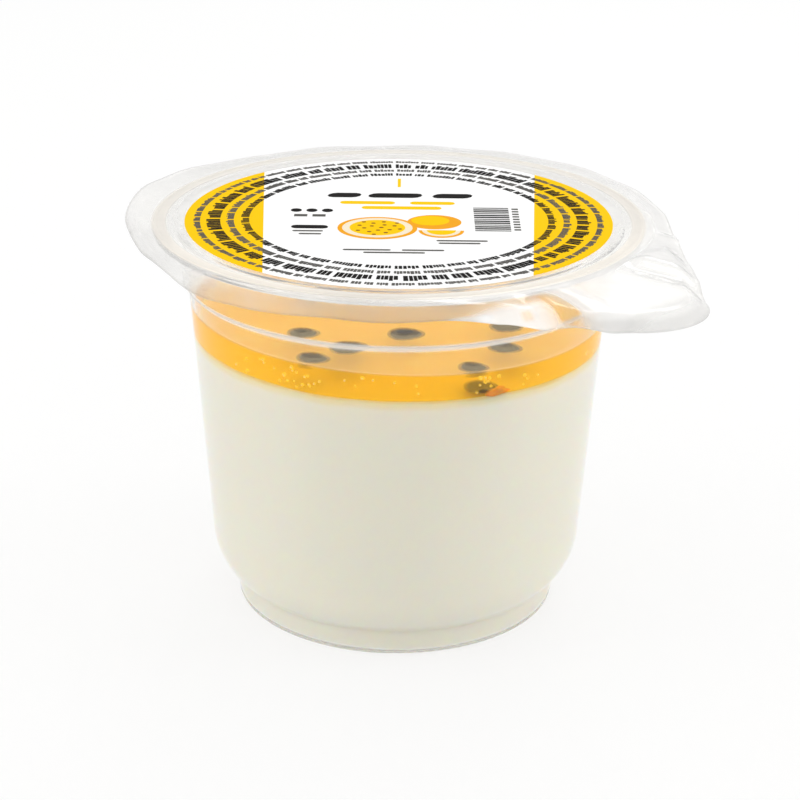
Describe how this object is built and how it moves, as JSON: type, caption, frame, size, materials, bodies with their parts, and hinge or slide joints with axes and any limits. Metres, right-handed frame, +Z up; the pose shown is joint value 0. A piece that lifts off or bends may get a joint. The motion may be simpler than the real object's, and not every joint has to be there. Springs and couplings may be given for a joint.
{
  "type": "mousse cup",
  "caption": "Clear tapered dessert cup of pale mousse under a tilted yellow fruit jelly, sealed with a clear peel-off film lid that has a rounded corner tab.",
  "frame": {"origin": "centre of the foot ring, on the surface that the cup stands on", "axes": "+Z up along the cup's axis; the film's tab points half way between +X and -Y; the jelly is highest towards -X"},
  "size_m": [0.0848, 0.0848, 0.0632],
  "materials": {
    "cup_plastic": "clear thermoformed polypropylene, glossy with a faint haze",
    "mousse": "set pale cream mousse, smooth and matte",
    "jelly": "translucent golden fruit jelly with seeds and small bubbles",
    "lid_film": "clear heat-seal film with a printed disc"
  },
  "bodies": {
    "root": {"cup": "cup_plastic", "mousse": "mousse", "jelly": "jelly", "lid_film": "lid_film"}
  },
  "joints": []
}
